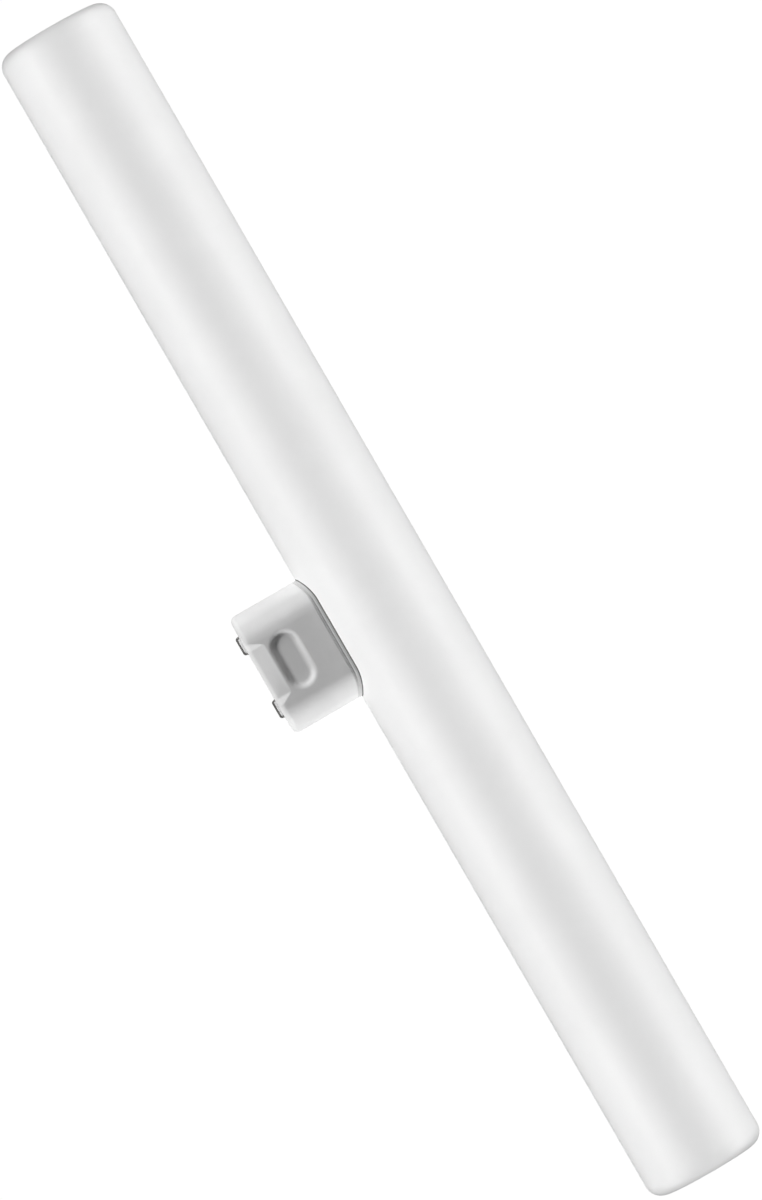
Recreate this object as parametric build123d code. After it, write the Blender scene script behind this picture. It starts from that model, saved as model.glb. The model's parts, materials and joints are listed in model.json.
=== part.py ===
from build123d import *
import os
from math import asin, atan2, cos, degrees, hypot, isclose, radians, sin, sqrt, tan

# Opal tube with a thin wall and closed, rounded ends, all sizes in millimetres
tube_length = 300.0
tube_diameter = 29.3
tube_end_radius = 3.8
tube_wall = 1.2
lead_hole_diameter = 6.0

# Cap moulding, with flat flanks and rounded ends
cap_length = 30.2
cap_width = 15.2
cap_corner_radius = 6.4
cap_height = 17.6
cap_offset = 1.75
cap_wall = 1.4
cap_floor = 1.6
cap_edge_radius = 1.5
cap_rim_bevel = 0.4

# Lead-in ramp in each flank, from the contact face up towards the recess
ramp_length = 4.2
ramp_depth = 1.3
ramp_past_flat = 0.1
ramp_side_slope = 26.5
ramp_floor_radius = 0.8
ramp_rim_radius = 0.5

# Latch recess in each flank, an obround dish for the holder's spring
recess_from_corner = 1.7
recess_from_ramp = 0.65
recess_width = 6.8
recess_depth = 1.0
recess_draft = 45.0
recess_lip_radius = 1.3
recess_floor_radius = 1.3

# Contact strips, each folded over a raised pad with its two tails through slots
contact_from_end = 6.855
contact_from_flank = 3.6
contact_length = 4.8
contact_tip_length = 4.25
contact_height = 1.0
contact_thickness = 0.45
contact_bend_radius = 0.6
contact_tail = 1.2
contact_clearance = 0.06

# Cement bead in the seam between cap and tube
bead_thickness = 0.75
bead_inset = 0.25

# How far a cutting tool runs out past the surface that it cuts, and how close counts as touching
tool_overrun = 1.0
same_place = 0.001

# Places worked out from the sizes above, in a frame with the tube along X and the cap along +Z
tube_radius = tube_diameter / 2
saddle_radius = tube_radius + bead_thickness
face_z = tube_radius + cap_height
flank_y = cap_width / 2
flat_half_length = cap_length / 2 - cap_corner_radius
ramp_top_z = face_z - ramp_length
ramp_half_width = flat_half_length + ramp_past_flat - ramp_depth / tan(radians(ramp_side_slope))
recess_length = 2 * (flat_half_length - recess_from_corner)
recess_z = ramp_top_z - recess_from_ramp - recess_width / 2
contact_width = cap_width - 2 * contact_from_flank
contact_x = cap_length / 2 - contact_from_end
contact_places = [-contact_x, contact_x]


def cap_plan(inset):
    """Outline of the cap seen along its axis, drawn in by inset."""
    return RectangleRounded(cap_length - 2 * inset, cap_width - 2 * inset, cap_corner_radius - inset)


def cylinder_along_x(radius, length):
    """Cylinder about the tube's axis."""
    return Cylinder(radius, length, rotation=(0, 90, 0))


def both_flanks(tool):
    """A tool of the +Y flank, and its mirror image on the other flank."""
    return [tool, mirror(tool, about=Plane.XZ)]


def flank_edges(part, low_z, high_z):
    """Edges in the flat of either flank whose middle lies between two heights."""

    def is_there(edge):
        middle = edge.center()
        in_plane = isclose(abs(middle.Y), flank_y, abs_tol=same_place)
        in_flat = abs(middle.X) < flat_half_length - same_place
        return in_plane and in_flat and low_z <= middle.Z <= high_z

    return part.edges().filter_by(is_there)


def edges_on_cylinder(part, radius):
    """Edges whose middle lies at a radius from the tube's axis."""

    def is_there(edge):
        middle = edge @ 0.5
        return isclose(hypot(middle.Y, middle.Z), radius, abs_tol=same_place)

    return part.edges().filter_by(is_there)


def make_tube():
    """Thin-walled tube with rounded ends, and a hole under the cap where the lead wires pass."""
    tube = cylinder_along_x(tube_radius, tube_length)
    tube = fillet(tube.edges().filter_by(GeomType.CIRCLE), tube_end_radius)
    inside = cylinder_along_x(tube_radius - tube_wall, tube_length - 2 * tube_wall)
    # A bevel that touches the arc drawn one wall inside the rounded end corner
    bevel = (2 - sqrt(2)) * (tube_end_radius - tube_wall)
    inside = chamfer(inside.edges().filter_by(GeomType.CIRCLE), bevel)
    lead_hole = Pos(cap_offset, 0, tube_radius) * Cylinder(lead_hole_diameter / 2, tube_radius)
    return tube - inside - lead_hole


def ramp_tool():
    """Wedge over the tilted ramp floor, with sides that slope out to the +Y flank."""
    tilt = atan2(ramp_depth, ramp_length)
    height = ramp_depth + tool_overrun
    spread = height / tan(radians(ramp_side_slope))
    reach = ramp_length + ramp_depth + spread
    base = Rectangle(2 * (ramp_half_width + spread), 2 * reach)
    wedge = extrude(base, height, taper=90 - ramp_side_slope)
    wedge = fillet(wedge.edges().group_by(Axis.Z)[-1].filter_by(Axis.Y), ramp_floor_radius)
    floor = Plane(origin=(0, flank_y, ramp_top_z), x_dir=(1, 0, 0), z_dir=(0, -cos(tilt), -sin(tilt)))
    return floor.offset(-height) * wedge


def recess_dish():
    """Obround dish with sloping walls, drawn with its floor upwards."""
    return extrude(SlotOverall(recess_length, recess_width), recess_depth, taper=recess_draft)


def recess_tool(dish):
    """Dish turned and moved to cut into the +Y flank."""
    return Plane(origin=(0, flank_y, recess_z), x_dir=(1, 0, 0), z_dir=(0, -1, 0)) * dish


def cap_cavity():
    """Space inside the cap, which keeps the wall's thickness behind the ramps and recesses."""
    cavity = extrude(cap_plan(cap_wall), face_z - cap_floor)
    for tool in (ramp_tool(), recess_tool(recess_dish())):
        cavity -= both_flanks(Pos(0, -cap_wall, 0) * tool)
    return cavity


def strip_line():
    """Outer line of a contact strip, seen along the cap's width: up, over the tip and down."""
    tail_z = face_z - cap_floor - contact_tail
    tip_z = face_z + contact_height
    half_face = contact_length / 2
    half_tip = contact_tip_length / 2
    right = [(half_tip, tip_z), (half_face, face_z), (half_face, tail_z)]
    left = [(-x, z) for x, z in reversed(right)]
    return FilletPolyline(*left, *right, radius=contact_bend_radius)


def make_contact():
    """Metal strip folded over its pad, with two straight tails."""
    section = make_face(offset(strip_line(), contact_thickness, side=Side.RIGHT, closed=True))
    return extrude(Plane.XZ * section, contact_width / 2, both=True)


def contact_pad():
    """Raised pad that fills the folded strip, standing on the contact face."""
    lean = atan2((contact_length - contact_tip_length) / 2, contact_height)
    foot = contact_length / 2 - contact_thickness / cos(lean) - contact_clearance
    pad_height = contact_height - contact_thickness
    top = foot - pad_height * tan(lean)
    base_z = face_z - cap_floor / 2
    top_z = face_z + pad_height
    right = [(top, top_z), (foot, face_z), (foot, base_z)]
    left = [(-x, z) for x, z in reversed(right)]
    section = make_face(Polyline(*left, *right, close=True))
    pad = extrude(Plane.XZ * section, contact_width / 2, both=True)
    top_edges = pad.edges().group_by(Axis.Z)[-1].filter_by(Axis.Y)
    return fillet(top_edges, contact_bend_radius - contact_thickness + contact_clearance)


def tail_slots():
    """Slots through the cap's floor for the two tails of a contact strip."""
    length = contact_thickness + 2 * contact_clearance
    width = contact_width + 2 * contact_clearance
    from_middle = (contact_length - contact_thickness) / 2
    slot = Pos(0, 0, face_z) * Box(length, width, 2 * (cap_floor + tool_overrun))
    return [Pos(from_middle, 0, 0) * slot, Pos(-from_middle, 0, 0) * slot]


def make_cap():
    """Hollow cap moulding with saddle, ramps, recesses, contact pads and slots."""
    cap = extrude(cap_plan(0), face_z) - cylinder_along_x(saddle_radius, tube_length)
    cap = chamfer(edges_on_cylinder(cap, saddle_radius), cap_rim_bevel)
    cap -= both_flanks(ramp_tool())
    cap = fillet(cap.edges().group_by(Axis.Z)[-1], cap_edge_radius)
    cap = fillet(flank_edges(cap, ramp_top_z, face_z - cap_edge_radius), ramp_rim_radius)
    dish = recess_dish()
    dish = fillet(dish.edges().group_by(Axis.Z)[-1], recess_floor_radius)
    cap -= both_flanks(recess_tool(dish))
    lip_edges = flank_edges(cap, recess_z - recess_width / 2, recess_z + recess_width / 2)
    cap = fillet(lip_edges, recess_lip_radius)
    cap -= cap_cavity()
    for x in contact_places:
        cap -= [Pos(x, 0, 0) * slot for slot in tail_slots()]
        cap += Pos(x, 0, 0) * contact_pad()
    return cap


def make_bead():
    """Ring of cement between the tube and the cap's saddle, drawn in from the flanks."""
    ring = extrude(cap_plan(bead_inset), face_z) - extrude(cap_plan(cap_wall), face_z)
    shell = cylinder_along_x(saddle_radius, tube_length) - cylinder_along_x(tube_radius, tube_length)
    return ring & shell


def rest_tilt():
    """Turn about the tube at which the tube and the cap's rounded lower edge touch the floor."""
    reach = face_z - cap_edge_radius
    side = flank_y - cap_edge_radius
    return degrees(asin((tube_radius - cap_edge_radius) / hypot(reach, side)) - atan2(side, reach))


# Assemble the bulb with its cap off the middle of the tube
at_cap = Pos(cap_offset, 0, 0)
pieces = {
    "bulb_tube": make_tube(),
    "cap_body": at_cap * make_cap(),
    "cement_bead": at_cap * make_bead(),
    "contact_left": at_cap * Pos(contact_places[0], 0, 0) * make_contact(),
    "contact_right": at_cap * Pos(contact_places[1], 0, 0) * make_contact(),
}

# Lay the bulb on its side, with the middle of its box above the origin
lying = {name: Rot(90 + rest_tilt(), 0, 0) * piece for name, piece in pieces.items()}
box = Compound(list(lying.values())).bounding_box()
to_origin = Pos(-box.center().X, -box.center().Y, -box.min.Z)

os.makedirs("parts", exist_ok=True)
for name, piece in lying.items():
    export_step(to_origin * piece, f"parts/{name}.step")
    print(name, round(piece.volume, 2), "mm3, valid:", piece.is_valid)
print("rest tilt", round(rest_tilt(), 3), "degrees")
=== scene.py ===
# %% [markdown]
# # A tubular light bulb
# The bulb is a closed opal tube with one moulded cap on its side. Two folded metal strips on the cap carry the
# current, and a shallow recess in each flank of the cap lets a holder's springs latch on. The solids come from
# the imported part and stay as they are. This lesson gives them their surfaces, lays a finer bead of cement in the
# seam, and sets up a floor, soft lights and a camera. All lengths are in metres.

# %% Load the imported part
import json
import math

import bmesh
import bpy
from mathutils import Matrix, Vector, noise


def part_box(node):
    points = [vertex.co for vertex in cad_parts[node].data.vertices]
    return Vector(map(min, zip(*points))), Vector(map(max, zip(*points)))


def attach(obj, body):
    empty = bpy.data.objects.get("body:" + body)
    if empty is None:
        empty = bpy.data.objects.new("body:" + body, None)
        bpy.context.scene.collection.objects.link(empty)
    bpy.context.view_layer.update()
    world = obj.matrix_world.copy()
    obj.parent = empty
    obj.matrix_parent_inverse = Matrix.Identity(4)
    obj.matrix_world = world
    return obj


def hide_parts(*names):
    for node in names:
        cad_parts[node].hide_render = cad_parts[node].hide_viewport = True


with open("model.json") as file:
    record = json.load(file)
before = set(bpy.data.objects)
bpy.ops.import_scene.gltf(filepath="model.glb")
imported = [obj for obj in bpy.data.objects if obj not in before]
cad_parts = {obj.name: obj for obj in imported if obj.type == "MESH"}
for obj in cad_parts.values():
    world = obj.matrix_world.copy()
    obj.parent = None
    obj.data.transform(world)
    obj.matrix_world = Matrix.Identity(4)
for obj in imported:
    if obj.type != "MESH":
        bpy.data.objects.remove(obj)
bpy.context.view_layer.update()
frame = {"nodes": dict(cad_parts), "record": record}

# %% [markdown]
# The bulb lies on its side, turned a little about its tube until the cap's lower edge touches the floor too.
# Typing the turned directions in would go stale with the next change, so they are read from the record: the cap
# seat points out of the cap, and the upper latch recess faces out of the upper flank, towards the camera.

# %% Read the bulb's own directions
mounts = {mount["name"]: mount for mount in frame["record"]["mounts"]}
along_tube = Vector((1, 0, 0))
out_of_cap = Vector(mounts["cap_seat"]["axis"])
out_of_flank = Vector(mounts["latch_recess_upper"]["axis"])
tube_low, tube_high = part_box("bulb_tube")
tube_middle = (Vector(tube_low) + Vector(tube_high)) / 2
tube_half = (tube_high[0] - tube_low[0]) / 2
tube_radius = (tube_high[2] - tube_low[2]) / 2
cap_middle_x = mounts["cap_seat"]["pos_m"][0]
print("tube radius", round(tube_radius, 5), "m, cap middle at x", cap_middle_x)

# %% [markdown]
# The photo looks square onto the cap's flank through a long lens, with the tube leaning 30 degrees from upright.
# A camera can be turned with angles, but here its three axes are known as directions, so they are put straight
# into its matrix: right, up, and backwards out of the flank. The photo's scale then fixes how far away it stands.

# %% Place the camera
photo_height = 1200
photo_pixels_per_metre = 4389
photo_lean = math.radians(30)
photo_middle_x = 0.00017
right = along_tube * math.sin(photo_lean) - out_of_cap * math.cos(photo_lean)
up = -along_tube * math.cos(photo_lean) - out_of_cap * math.sin(photo_lean)

camera_data = bpy.data.cameras.new("photo_camera")
camera_data.lens = 300
camera_data.sensor_width = 36
camera_data.clip_end = 20
field_height = photo_height / photo_pixels_per_metre
camera_distance = field_height * camera_data.lens / camera_data.sensor_width
camera_place = tube_middle + along_tube * photo_middle_x + out_of_flank * camera_distance
camera_turn = Matrix((right, up, out_of_flank)).transposed().to_4x4()
camera = bpy.data.objects.new("photo_camera", camera_data)
camera.matrix_world = Matrix.Translation(camera_place) @ camera_turn
bpy.context.collection.objects.link(camera)
bpy.context.scene.camera = camera
bpy.context.scene.view_settings.view_transform = "Standard"
print("camera", round(camera_distance, 3), "m from the tube")

# %% [markdown]
# Node trees are built in code, so three small helpers keep the cells short. One adds a node and sets what is
# given, one joins an output to an input, and one starts an empty material. Each material below is then a short
# list of nodes and links.

# %% Helpers for node trees
def add(tree, kind, values=None, **settings):
    """Adds a node, sets its options, then its input values by name or number."""
    made = tree.nodes.new(kind)
    for name, value in settings.items():
        setattr(made, name, value)
    for name, value in (values or {}).items():
        made.inputs[name].default_value = value
    return made


def join(tree, source, output, target, entry):
    """Links an output of one node to an input of another."""
    tree.links.new(source.outputs[output], target.inputs[entry])


def new_material(name):
    """Makes a material with an empty node tree."""
    material = bpy.data.materials.new(name)
    material.use_nodes = True
    material.node_tree.nodes.clear()
    print("material", name)
    return material, material.node_tree


# %% [markdown]
# The floor is a wide pale sheet. The photo's paper is plain white, with no shadow on it. White diffuse paper under
# studio lights could do that too, but it would need so much light that the bulb's edges drown in it. So the sheet
# itself glows: white to the camera, and only dimly to the bulb, as a real sheet sends light back. The Light Path
# node tells the two kinds of ray apart.

# %% Cut the floor sheet
floor_half = 6.0
corners = [(x * floor_half, y * floor_half, 0) for x, y in ((-1, -1), (1, -1), (1, 1), (-1, 1))]
floor_mesh = bpy.data.meshes.new("floor")
floor_mesh.from_pydata(corners, [], [(0, 1, 2, 3)])
floor = bpy.data.objects.new("floor", floor_mesh)
bpy.context.collection.objects.link(floor)
print("floor", 2 * floor_half, "m wide")

# %% [markdown]
# Even a glowing sheet goes dark right where something touches it, and without that the bulb would seem to hover.
# The Ambient Occlusion node measures how much of the sky above a spot is open within a few millimetres. Only spots
# with little open sky are shaded, so the shade lies under the bulb and shows from low views alone.

# %% Floor sheet
sheet_white = 1.02
glow_to_bulb = 0.09
touch_reach = 0.004
touch_open_sky = 0.4
touch_grey = 0.3

sheet, tree = new_material("floor_sheet")
ray = add(tree, "ShaderNodeLightPath")
glow = add(tree, "ShaderNodeMapRange", {"To Min": glow_to_bulb, "To Max": 1.0})
open_sky = add(tree, "ShaderNodeAmbientOcclusion", {"Distance": touch_reach}, samples=16)
shade = add(
    tree, "ShaderNodeMapRange",
    {"From Max": touch_open_sky, "To Min": touch_grey, "To Max": sheet_white},
)
white = add(tree, "ShaderNodeEmission")
surface = add(tree, "ShaderNodeOutputMaterial")
join(tree, ray, "Is Camera Ray", glow, "Value")
join(tree, open_sky, "AO", shade, "Value")
join(tree, shade, "Result", white, "Color")
join(tree, glow, "Result", white, "Strength")
join(tree, white, 0, surface, "Surface")
floor_mesh.materials.append(sheet)

# %% [markdown]
# The air of the studio is a dim even grey that fills the shadows. Seen directly it is white, so the views from
# lower down keep a plain background.

# %% Fill the air
air_grey = 0.05
air = bpy.data.worlds.new("studio_air")
air.use_nodes = True
bpy.context.scene.world = air
tree = air.node_tree
tree.nodes.clear()
ray = add(tree, "ShaderNodeLightPath")
dim = add(tree, "ShaderNodeBackground", {"Color": (air_grey, air_grey, air_grey, 1)})
bright = add(tree, "ShaderNodeBackground", {"Color": (1, 1, 1, 1)})
choose = add(tree, "ShaderNodeMixShader")
surface = add(tree, "ShaderNodeOutputWorld")
join(tree, ray, "Is Camera Ray", choose, 0)
join(tree, dim, 0, choose, 1)
join(tree, bright, 0, choose, 2)
join(tree, choose, 0, surface, "Surface")
print("air fills the shadows with grey", air_grey)

# %% [markdown]
# The pieces ask for different light. The tube wants long soft panels, the same from end to end, while the cap's
# small hollows only read under one clear key light, and plated contacts look black unless something bright stands
# in front of them. One set of lights would be a compromise. Light linking gives each group its own instead: a
# light with a receiver collection lights only the objects in it.

# %% Sort the objects by their light
def light_group(name, *members):
    """Makes a collection that lights can be linked to."""
    group = bpy.data.collections.new(name)
    for member in members:
        group.objects.link(member)
    return group


nodes = frame["nodes"]
by_tube = light_group("lit_with_tube", nodes["bulb_tube"])
by_cap = light_group("lit_with_cap", *(nodes[name] for name in nodes if name != "bulb_tube"))
by_contacts = light_group("lit_with_contacts", nodes["contact_left"], nodes["contact_right"])

# %% [markdown]
# A soft light is a rectangle that glows evenly. This helper stands one off in a direction given in the bulb's own
# terms: along the tube, out of the cap and out of the flank. Its long side runs along the tube as far as it can.
# The blocker collection names what may shade the light. It is the same group, so no group shades another, and a
# low light may even stand below the floor.

# %% Helper for soft lights
def soft_light(name, group, aim, direction, distance, size, energy):
    """Makes a rectangular light that faces a point from a direction and lights one group."""
    data = bpy.data.lights.new(name, "AREA")
    data.shape = "RECTANGLE"
    data.size, data.size_y = size
    data.energy = energy
    axes = (along_tube, out_of_cap, out_of_flank)
    back = sum((axis * share for axis, share in zip(axes, direction)), Vector()).normalized()
    side = (along_tube - back * along_tube.dot(back)).normalized()
    turn = Matrix((side, back.cross(side), back)).transposed().to_4x4()
    light = bpy.data.objects.new(name, data)
    light.matrix_world = Matrix.Translation(aim + back * distance) @ turn
    light.visible_camera = False
    light.light_linking.receiver_collection = group
    light.light_linking.blocker_collection = group
    bpy.context.collection.objects.link(light)
    print(name, "at", [round(value, 3) for value in light.matrix_world.translation])


# %% [markdown]
# The photo's tube is brightest on its two shoulders, a little darker down the middle and darker again at its
# edges. Long panels on both sides do that, from high to low: each one lights the part of the round that faces it.
# Every panel has its angle from straight above the flank, towards the cap or away from it, and its strength.

# %% Light the tube from its sides
panel_distance = 0.55
panel_size = (1.1, 0.14)
tube_panels = {
    "panel_by_cap_high": (40, 1.62),
    "panel_by_cap_low": (64, 2.1),
    "panel_behind_high": (-40, 0.74),
    "panel_behind_middle": (-64, 2.0),
    "panel_behind_low": (-88, 1.05),
}
for name, (angle, energy) in tube_panels.items():
    lean = math.radians(angle)
    direction = (0, math.sin(lean), math.cos(lean))
    soft_light(name, by_tube, tube_middle, direction, panel_distance, panel_size, energy)

# %% [markdown]
# The panels can't reach round the tube's rounded ends. One light straight off each end would brighten the middle
# of the end as much as its corners, but in the photo the corners stay bright and the middle is darker. So a small
# light stands off each of the four corners.

# %% Light the tube's end corners
corner_distance = 0.5
corner_size = (0.2, 0.2)
corner_energy = 0.65
corner_lights = {
    "corner_by_cap_start": (-1, 1),
    "corner_by_cap_end": (1, 1),
    "corner_behind_start": (-1, -1),
    "corner_behind_end": (1, -1),
}
for name, (end, side) in corner_lights.items():
    tube_end = tube_middle + along_tube * end * tube_half
    soft_light(name, by_tube, tube_end, (end, side, 0), corner_distance, corner_size, corner_energy)

# %% [markdown]
# The cap's key light comes over its contacts from the left, so the recess gets one bright and one dark wall. A low
# light beyond each rounded end picks that end out, the right one almost in the plane of the flank, and a faint one
# stands high on the right. A turn counts from the tube's right-hand end round towards the contacts, and a height
# counts up from the flank.

# %% Light the cap
cap_middle = Vector(mounts["latch_recess_upper"]["pos_m"])
cap_light_distance = 0.4
cap_lights = {
    "cap_key": (126, 25, (0.1, 0.1), 1.21),
    "cap_left_low": (180, 9, (0.22, 0.1), 0.84),
    "cap_right_low": (20, 1.5, (0.14, 0.03), 1.7),
    "cap_right_high": (0, 50, (0.1, 0.1), 0.1),
}
for name, (turn, height, size, energy) in cap_lights.items():
    turn, height = math.radians(turn), math.radians(height)
    level = math.cos(height)
    direction = (math.cos(turn) * level, math.sin(turn) * level, math.sin(height))
    soft_light(name, by_cap, cap_middle, direction, cap_light_distance, size, energy)

# %% [markdown]
# Metal shows what stands around it. A broad light in front of the contacts gives the strips something bright to
# mirror. It stands low, so it does nothing to the thin dark edge that the photo shows.

# %% Light the contacts
contact_front = (0, 0.94, -0.34)
soft_light("contact_front", by_contacts, cap_middle, contact_front, cap_light_distance, (0.5, 0.5), 0.5)

# %% [markdown]
# Fine grain is what keeps a moulded or drawn surface from looking like paint. Every material uses it, so it is a
# node group: three-dimensional noise in the bulb's own metres, drawn out along the tube by a chosen stretch.

# %% Group for fine grain
def new_group(name, entries, results):
    """Makes a node group with named number inputs and number outputs."""
    tree = bpy.data.node_groups.new(name, "ShaderNodeTree")
    for entry, value in entries.items():
        socket = tree.interface.new_socket(entry, in_out="INPUT", socket_type="NodeSocketFloat")
        socket.default_value = value
    for result in results:
        tree.interface.new_socket(result, in_out="OUTPUT", socket_type="NodeSocketFloat")
    print("group", name)
    return tree, add(tree, "NodeGroupInput"), add(tree, "NodeGroupOutput")


grain_group, entry, result = new_group("fine_grain", {"Per metre": 3000.0, "Stretch": 1.0}, ["Height"])
where = add(grain_group, "ShaderNodeTexCoord")
shrink = add(grain_group, "ShaderNodeMath", {0: 1.0}, operation="DIVIDE")
by_axis = add(grain_group, "ShaderNodeCombineXYZ", {"Y": 1.0, "Z": 1.0})
drawn_out = add(grain_group, "ShaderNodeVectorMath", operation="MULTIPLY")
speckle = add(grain_group, "ShaderNodeTexNoise", {"Detail": 3.0, "Roughness": 0.55})
join(grain_group, entry, "Stretch", shrink, 1)
join(grain_group, shrink, 0, by_axis, "X")
join(grain_group, where, "Object", drawn_out, 0)
join(grain_group, by_axis, 0, drawn_out, 1)
join(grain_group, drawn_out, 0, speckle, "Vector")
join(grain_group, entry, "Per metre", speckle, "Scale")
join(grain_group, speckle, "Fac", result, "Height")

# %% [markdown]
# Handling leaves faint, cloudy patches where a surface is a little duller. A slow noise with its middle range
# spread out makes the mask, and each material chooses how much it listens to it.

# %% Group for handling haze
haze_group, entry, result = new_group("handling_haze", {"Per metre": 60.0}, ["Mask"])
where = add(haze_group, "ShaderNodeTexCoord")
cloud = add(haze_group, "ShaderNodeTexNoise", {"Detail": 4.0, "Roughness": 0.6, "Distortion": 0.4})
spread = add(
    haze_group, "ShaderNodeMapRange", {"From Min": 0.35, "From Max": 0.65},
    interpolation_type="SMOOTHSTEP",
)
join(haze_group, where, "Object", cloud, "Vector")
join(haze_group, entry, "Per metre", cloud, "Scale")
join(haze_group, cloud, "Fac", spread, "Value")
join(haze_group, spread, "Result", result, "Mask")

# %% [markdown]
# A material needs the same few steps each time: a group as a node, a mask spread over a range of values, a mix of
# two greys or tints, a bump, and at last the shader that they feed. The first four helpers return the finished
# node, ready to join. The last one closes the material, with what is the same all over set on the shader itself.

# %% Helpers for surfaces
def use_group(tree, group, **values):
    """Adds a group as a node and sets its inputs, written with _ for a space."""
    made = add(tree, "ShaderNodeGroup", node_tree=group)
    for name, value in values.items():
        made.inputs[name.replace("_", " ").capitalize()].default_value = value
    return made


def spread_mask(tree, source, output, low, high):
    """Spreads a mask over a range of values."""
    made = add(tree, "ShaderNodeMapRange", {"To Min": low, "To Max": high})
    join(tree, source, output, made, "Value")
    return made


def mix_colours(tree, source, output, first, second):
    """Mixes two colours by a mask."""
    made = add(tree, "ShaderNodeMix", data_type="RGBA")
    made.inputs["A"].default_value = (*first, 1)
    made.inputs["B"].default_value = (*second, 1)
    join(tree, source, output, made, "Factor")
    return made


def bump(tree, source, output, depth, strength):
    """Turns a height into a bent surface direction."""
    made = add(tree, "ShaderNodeBump", {"Distance": depth, "Strength": strength})
    join(tree, source, output, made, "Height")
    return made


def close_material(tree, colour, gloss, bent, even_values):
    """Feeds colour, roughness and direction to a shader with the given even values."""
    shader = add(tree, "ShaderNodeBsdfPrincipled", even_values)
    surface = add(tree, "ShaderNodeOutputMaterial")
    join(tree, colour, "Result", shader, "Base Color")
    join(tree, gloss, "Result", shader, "Roughness")
    join(tree, bent, "Normal", shader, "Normal")
    join(tree, shader, 0, surface, "Surface")


# %% [markdown]
# The tube is opal: white right through, with a satin outside. Its colour drifts by a hair in the haze, its gloss
# changes with the same mask, and a long drawn-out grain bends the surface slightly along the tube. A dull clear
# coat takes light away at grazing angles, and that gives the tube the darker edges of the photo.

# %% Opal tube
opal, tree = new_material("opal_tube")
haze = use_group(tree, haze_group, per_metre=45.0)
grain = use_group(tree, grain_group, per_metre=1800.0, stretch=5.0)
colour = mix_colours(tree, haze, "Mask", (0.90, 0.90, 0.90), (0.88, 0.88, 0.88))
gloss = spread_mask(tree, haze, "Mask", 0.50, 0.58)
bent = bump(tree, grain, "Height", 0.00003, 0.10)
coat = {"IOR": 1.45, "Coat Weight": 1.0, "Coat Roughness": 0.45}
close_material(tree, colour, gloss, bent, coat)

# %% [markdown]
# The cap is moulded in white plastic, in a mould with a fine eroded finish. Its grain is short and even, and finer
# than the tube's. It has little gloss: with more, the low lights would wash its flank out from the side.

# %% Cap plastic
plastic, tree = new_material("cap_plastic")
haze = use_group(tree, haze_group, per_metre=110.0)
grain = use_group(tree, grain_group, per_metre=4200.0, stretch=1.0)
colour = mix_colours(tree, haze, "Mask", (0.73, 0.73, 0.73), (0.70, 0.70, 0.70))
gloss = spread_mask(tree, haze, "Mask", 0.46, 0.56)
bent = bump(tree, grain, "Height", 0.00004, 0.14)
close_material(tree, colour, gloss, bent, {"IOR": 1.46, "Specular IOR Level": 0.2})

# %% [markdown]
# On the photo's cap the flat flank passes into its rounded ends so gently that no line shows, a little earlier at
# the left end. The solid has a true arc there, which starts at a line. A height that falls off smoothly on both
# sides of the cap's middle eases that start when it goes through a Bump node. It counts only on the flanks and the
# ends, and not on the face of the contacts. A Bevel node under it rounds the moulded edges a little.

# %% Ease the cap's rounded ends
edge_ease = 0.0005
ease_shift = 0.0009
ease_start = 0.0079
ease_end = 0.0129
ease_depth = 0.0009

where = add(tree, "ShaderNodeTexCoord")
by_axis = add(tree, "ShaderNodeSeparateXYZ")
off_middle = add(tree, "ShaderNodeMath", {1: cap_middle_x + ease_shift}, operation="SUBTRACT")
distance = add(tree, "ShaderNodeMath", operation="ABSOLUTE")
fall = add(
    tree, "ShaderNodeMapRange",
    {"From Min": ease_start, "From Max": ease_end, "To Min": 1.0, "To Max": 0.0},
    interpolation_type="SMOOTHSTEP",
)
join(tree, where, "Object", by_axis, 0)
join(tree, by_axis, "X", off_middle, 0)
join(tree, off_middle, 0, distance, 0)
join(tree, distance, 0, fall, "Value")

facing = add(tree, "ShaderNodeNewGeometry")
to_contacts = add(tree, "ShaderNodeVectorMath", {1: out_of_cap}, operation="DOT_PRODUCT")
on_flank = add(tree, "ShaderNodeMapRange", {"From Min": 0.3, "From Max": 0.7, "To Min": 1.0, "To Max": 0.0})
join(tree, facing, "True Normal", to_contacts, 0)
join(tree, to_contacts, "Value", on_flank, "Value")

eased_edges = add(tree, "ShaderNodeBevel", {"Radius": edge_ease}, samples=6)
eased_ends = bump(tree, fall, "Result", ease_depth, 1.0)
join(tree, on_flank, "Result", eased_ends, "Strength")
join(tree, eased_edges, "Normal", eased_ends, "Normal")
join(tree, eased_ends, "Normal", bent, "Normal")
print("cap's ends eased from", ease_start, "to", ease_end, "m off its middle")

# %% [markdown]
# The cement in the seam is grey and sandy, and its grain changes colour as well as height. A thin sheet of it runs
# past the cap onto the tube, and near black is painted on that sheet as the shadow line along the seam. The sheet
# could be a piece of its own, but the distance from the tube's axis already tells sheet and bead apart, so that
# distance chooses between the painted shadow and the sandy grey.

# %% Seam cement and its painted shadow line
# near black painted on the thin sheet next to the tube as the seam's shadow line, and how far off the tube it holds
painted_shadow_grey = (0.1, 0.1, 0.1)
painted_shadow_off_tube = 0.00006
bead_off_tube = 0.00012

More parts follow.
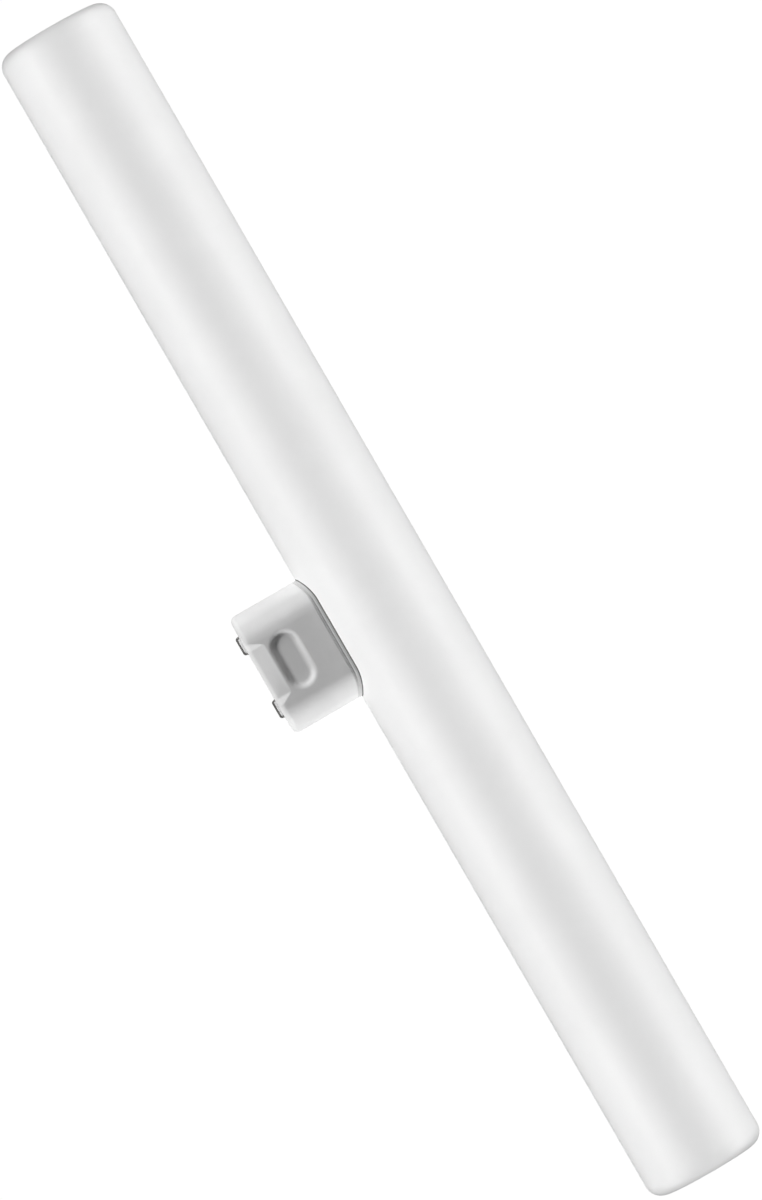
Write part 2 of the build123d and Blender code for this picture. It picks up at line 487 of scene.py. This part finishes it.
cement, tree = new_material("seam_cement")
grain = use_group(tree, grain_group, per_metre=5200.0, stretch=1.0)
sandy = mix_colours(tree, grain, "Height", (0.46, 0.46, 0.46), (0.62, 0.62, 0.62))
where = add(tree, "ShaderNodeTexCoord")
from_middle = add(tree, "ShaderNodeVectorMath", {1: tube_middle}, operation="SUBTRACT")
square_to_tube = add(tree, "ShaderNodeVectorMath", {1: (0, 1, 1)}, operation="MULTIPLY")
from_axis = add(tree, "ShaderNodeVectorMath", operation="LENGTH")
off_tube = add(
    tree, "ShaderNodeMapRange",
    {"From Min": tube_radius + painted_shadow_off_tube, "From Max": tube_radius + bead_off_tube},
)
join(tree, where, "Object", from_middle, 0)
join(tree, from_middle, 0, square_to_tube, 0)
join(tree, square_to_tube, 0, from_axis, 0)
join(tree, from_axis, "Value", off_tube, "Value")
# painted shadow: near black on the sheet close to the tube, sandy grey from the bead onwards
colour = mix_colours(tree, off_tube, "Result", painted_shadow_grey, (1, 1, 1))
join(tree, sandy, "Result", colour, "B")
gloss = spread_mask(tree, grain, "Height", 0.75, 0.9)
bent = bump(tree, grain, "Height", 0.00008, 0.4)
close_material(tree, colour, gloss, bent, {})

# %% [markdown]
# The contact strips are plated metal. Rolling leaves fine streaks, here drawn out along the tube, and handling
# dulls them in patches.

# %% Contact metal
metal, tree = new_material("contact_metal")
haze = use_group(tree, haze_group, per_metre=400.0)
streaks = use_group(tree, grain_group, per_metre=9000.0, stretch=30.0)
colour = mix_colours(tree, haze, "Mask", (0.72, 0.71, 0.69), (0.62, 0.61, 0.59))
gloss = spread_mask(tree, streaks, "Height", 0.25, 0.5)
bent = bump(tree, streaks, "Height", 0.00002, 0.2)
close_material(tree, colour, gloss, bent, {"Metallic": 1.0})

# %% [markdown]
# The cement is pressed out of the seam as the cap is set on the tube, so the bead is not the plain ring of the
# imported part. It is laid here as a section swept round the cap's outline. A curve with a bevel would be quicker,
# but its section would not follow the round tube under it. First comes the outline, seen along the cap: two flats
# and four round corners. The cap lies turned, so its box gives its length but not its width.

# %% Outline of the cap
cap_low, cap_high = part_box("cap_body")
half_length = (cap_high[0] - cap_low[0]) / 2
half_width = 0.0076
corner_radius = 0.0064
corner_steps = 20
flat_steps = 24


def cap_outline():
    """Points round the cap's outline, each with its outward direction."""
    points = []
    for corner in range(4):
        middle_x = (half_length - corner_radius) * (1, -1, -1, 1)[corner]
        middle_y = (half_width - corner_radius) * (1, 1, -1, -1)[corner]
        for step in range(corner_steps + 1):
            angle = math.pi / 2 * (corner + step / corner_steps)
            out = Vector((math.cos(angle), math.sin(angle)))
            points.append((Vector((middle_x, middle_y)) + out * corner_radius, out))
        if corner % 2 == 0:
            for step in range(1, flat_steps):
                run = (half_length - corner_radius) * (1 - 2 * step / flat_steps) * (1 - corner)
                points.append((Vector((run, half_width * (1 - corner))), out.copy()))
    return points


outline = cap_outline()
print("outline of", len(outline), "points")

# %% [markdown]
# The section starts on the tube with the thin sheet that reaches past the cap and carries the painted shadow line.
# A nearly flat band stands on it, then comes a crease, and above the crease the cement fills the bevel of the cap's
# rim. The last two points close the section inside the cap. Each point gives its height as a share of the seam, and
# how far it stands out past the cap's flank.

# %% Section of the bead
seam_height = 0.00075
inside_edge = -0.0014
# a thin sheet on the tube past the cap, painted near black as the seam's shadow line
shadow_sheet = [(0.0, 0.00033), (0.04, 0.00031), (0.04, 0.0001)]
band = [(0.06, 0.00006), (0.15, 0.00005), (0.3, 0.00005), (0.5, 0.00004), (0.68, 0.00002)]
crease = [(0.76, -0.0001), (0.84, -0.00014), (0.92, -0.00008)]
rim_fill = [(1.05, -0.00005), (1.25, -0.00004), (1.42, -0.00003)]
inside = [(1.0, inside_edge), (0.0, inside_edge)]
section = shadow_sheet + band + crease + rim_fill + inside
print("section of", len(section), "points")

# %% [markdown]
# Each point of the outline gets one ring of the section, standing square to the tube's surface. Cement is never
# laid quite evenly, so noise moves what can be seen of it in and out by a few hundredths of a millimetre.

# %% Set out the rings of the bead
unevenness = 0.00003
uneven_per_metre = 900

bead_mesh = bmesh.new()
rings = []
for place, out in outline:
    ring = []
    for share, past in section:
        rough_spot = Vector((place.x, place.y, share * seam_height)) * uneven_per_metre
        wobble = noise.noise(rough_spot) * unevenness
        spot = place + out * (past + wobble * (past > inside_edge))
        rise = math.sqrt((tube_radius + share * seam_height) ** 2 - spot.y ** 2)
        centre = tube_middle + along_tube * (cap_middle_x - tube_middle.x + spot.x)
        ring.append(bead_mesh.verts.new(centre + out_of_flank * spot.y + out_of_cap * rise))
    rings.append(ring)
print(len(rings), "rings set out")

# %% [markdown]
# Faces between each ring and the next close the bead. It rides on the one body of the bulb and stands for the
# packed ring, which is hidden but stays for collision. It also joins the cap's light group.

# %% Lay the bead
for ring, after in zip(rings, rings[1:] + rings[:1]):
    for step in range(len(section)):
        following = (step + 1) % len(section)
        bead_mesh.faces.new((ring[step], after[step], after[following], ring[following]))
bmesh.ops.recalc_face_normals(bead_mesh, faces=bead_mesh.faces)
laid = bpy.data.meshes.new("laid_cement")
bead_mesh.to_mesh(laid)
bead_mesh.free()
laid.shade_smooth()
laid.materials.append(cement)
bead = bpy.data.objects.new("laid_cement", laid)
bpy.context.collection.objects.link(bead)
by_cap.objects.link(bead)
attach(bead, "root")
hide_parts("cement_bead")
print("bead of", len(laid.polygons), "faces")

# %% [markdown]
# The solids already have the right shapes, so they only get their finished surfaces. Putting a material in an
# object's slot leaves its mesh alone.

# %% Give the solids their surfaces
surfaces = {
    "bulb_tube": opal,
    "cap_body": plastic,
    "cement_bead": cement,
    "contact_left": metal,
    "contact_right": metal,
}
for name, material in surfaces.items():
    for slot in nodes[name].material_slots:
        slot.material = material
    print(name, "gets", material.name, "in", len(nodes[name].material_slots), "slot")
